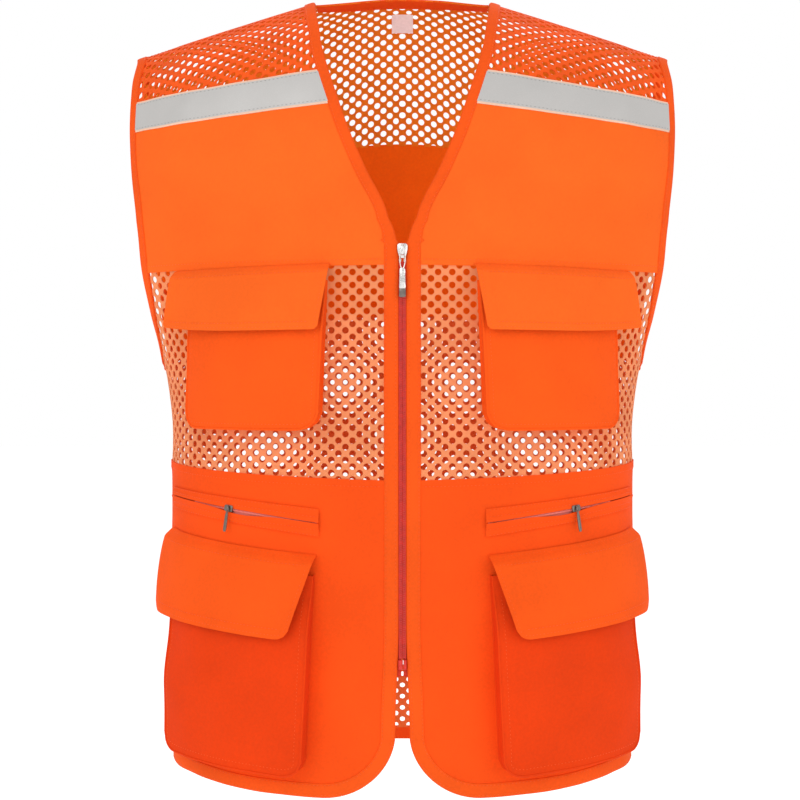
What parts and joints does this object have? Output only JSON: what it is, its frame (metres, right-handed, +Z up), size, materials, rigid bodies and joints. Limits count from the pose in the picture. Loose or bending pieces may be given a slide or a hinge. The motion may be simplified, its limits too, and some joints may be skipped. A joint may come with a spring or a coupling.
{
  "type": "high visibility vest",
  "caption": "Orange high visibility work vest with mesh yokes and sides, grey reflective tape, front zip, flap pockets and slanted zip pockets.",
  "frame": {"origin": "midway between the two neck points of the shoulder seams, where the vest rests on its wearer", "axes": "+Z up, the front faces -Y, +X is the wearer's left"},
  "size_m": [0.4794, 0.2575, 0.6985],
  "materials": {
    "mesh": "round-hole knitted polyester mesh, soft sheen",
    "twill": "fine polyester twill, matte",
    "binding": "folded polyester bias tape, matte",
    "pocket": "fine polyester twill, matte",
    "lining": "plain polyester, matte",
    "reflective": "retroreflective glass-bead tape, satin grey",
    "label": "blank satin ribbon",
    "zip_red": "dyed nylon coil and polyester zip tape",
    "nickel": "bright nickel-plated zinc",
    "gunmetal": "dark plated zinc",
    "hook_loop": "hook and loop pile"
  },
  "bodies": {
    "back": {"back_yoke_mesh": "mesh", "back_band_panel": "twill", "back_lower_mesh": "mesh", "back_hem_band": "twill", "back_neck_binding": "binding", "back_reflective_tape": "reflective", "neck_label": "label", "left_back_armhole_binding": "binding", "right_back_armhole_binding": "binding", "left_yoke_mesh": "mesh", "right_yoke_mesh": "mesh"},
    "left_front": {"left_reflective_tape": "reflective", "left_chest_panel": "twill", "left_front_mesh": "mesh", "left_lower_panel": "twill", "left_front_binding": "binding", "left_armhole_binding": "binding", "left_zip_tape": "zip_red", "left_zip_coil": "zip_red", "left_chest_pocket_face": "pocket", "left_chest_pocket_gusset": "pocket", "left_cargo_pocket_face": "pocket", "left_cargo_pocket_gusset": "pocket", "left_slant_pocket_welt": "pocket", "left_slant_pocket_bag": "lining", "left_slant_zip_coil": "zip_red", "left_pocket_loops": "hook_loop", "zip_insertion_pin": "zip_red"},
    "right_front": {"right_reflective_tape": "reflective", "right_chest_panel": "twill", "right_front_mesh": "mesh", "right_lower_panel": "twill", "right_front_binding": "binding", "right_armhole_binding": "binding", "right_zip_tape": "zip_red", "right_zip_coil": "zip_red", "right_chest_pocket_face": "pocket", "right_chest_pocket_gusset": "pocket", "right_cargo_pocket_face": "pocket", "right_cargo_pocket_gusset": "pocket", "right_slant_pocket_welt": "pocket", "right_slant_pocket_bag": "lining", "right_slant_zip_coil": "zip_red", "right_pocket_loops": "hook_loop", "zip_retainer_box": "zip_red"},
    "slider": {"zip_slider": "nickel"},
    "pull": {"zip_pull_tab": "nickel"},
    "left_chest_lid": {"left_chest_flap": "pocket", "left_flap_hooks_chest": "hook_loop"},
    "left_cargo_lid": {"left_cargo_flap": "pocket", "left_flap_hooks_cargo": "hook_loop"},
    "left_slant_slider": {"left_slant_zip_slider": "gunmetal"},
    "left_slant_pull": {"left_slant_zip_pull": "gunmetal"},
    "right_chest_lid": {"right_chest_flap": "pocket", "right_flap_hooks_chest": "hook_loop"},
    "right_cargo_lid": {"right_cargo_flap": "pocket", "right_flap_hooks_cargo": "hook_loop"},
    "right_slant_slider": {"right_slant_zip_slider": "gunmetal"},
    "right_slant_pull": {"right_slant_zip_pull": "gunmetal"}
  },
  "joints": [
    {"name": "slider_travel", "type": "slide", "parent": "right_front", "child": "slider", "axis": [0, 0, -1], "range_m": [0, 0.336]},
    {"name": "pull_swing", "type": "hinge", "parent": "slider", "child": "pull", "pos_m": [0, -0.1273, -0.2255], "axis": [-1, 0, 0], "range_deg": [0, 165]},
    {"name": "left_front_open", "type": "hinge", "parent": "back", "child": "left_front", "pos_m": [0.238, 0, -0.052], "axis": [0.0532, 0, 0.9986], "range_deg": [0, 25]},
    {"name": "left_chest_flap_lift", "type": "hinge", "parent": "left_front", "child": "left_chest_lid", "pos_m": [0.1383, -0.1114, -0.2421], "axis": [-0.9653, -0.2567, 0.0477], "range_deg": [0, 120]},
    {"name": "left_cargo_flap_lift", "type": "hinge", "parent": "left_front", "child": "left_cargo_lid", "pos_m": [0.1565, -0.0938, -0.475], "axis": [-0.8482, -0.5198, -0.1021], "range_deg": [0, 110]},
    {"name": "left_slant_zip_travel", "type": "hinge", "parent": "left_front", "child": "left_slant_slider", "pos_m": [0.0585, 0.07, -0.45803], "axis": [-0.1392, 0, 0.9903], "range_deg": [-19, 8.5]},
    {"name": "left_slant_pull_swing", "type": "hinge", "parent": "left_slant_slider", "child": "left_slant_pull", "pos_m": [0.14855, -0.10103, -0.44538], "axis": [-0.8744, -0.4695, -0.1229], "range_deg": [0, 150]},
    {"name": "right_front_open", "type": "hinge", "parent": "back", "child": "right_front", "pos_m": [-0.238, 0, -0.052], "axis": [0.0532, 0, -0.9986], "range_deg": [0, 25]},
    {"name": "right_chest_flap_lift", "type": "hinge", "parent": "right_front", "child": "right_chest_lid", "pos_m": [-0.1383, -0.1114, -0.2421], "axis": [-0.9653, 0.2567, -0.0477], "range_deg": [0, 120]},
    {"name": "right_cargo_flap_lift", "type": "hinge", "parent": "right_front", "child": "right_cargo_lid", "pos_m": [-0.1565, -0.0938, -0.475], "axis": [-0.8482, 0.5198, 0.1021], "range_deg": [0, 110]},
    {"name": "right_slant_zip_travel", "type": "hinge", "parent": "right_front", "child": "right_slant_slider", "pos_m": [-0.0585, 0.07, -0.45803], "axis": [-0.1392, 0, -0.9903], "range_deg": [-19, 8.5]},
    {"name": "right_slant_pull_swing", "type": "hinge", "parent": "right_slant_slider", "child": "right_slant_pull", "pos_m": [-0.14855, -0.10103, -0.44538], "axis": [-0.8744, 0.4695, 0.1229], "range_deg": [0, 150]}
  ]
}
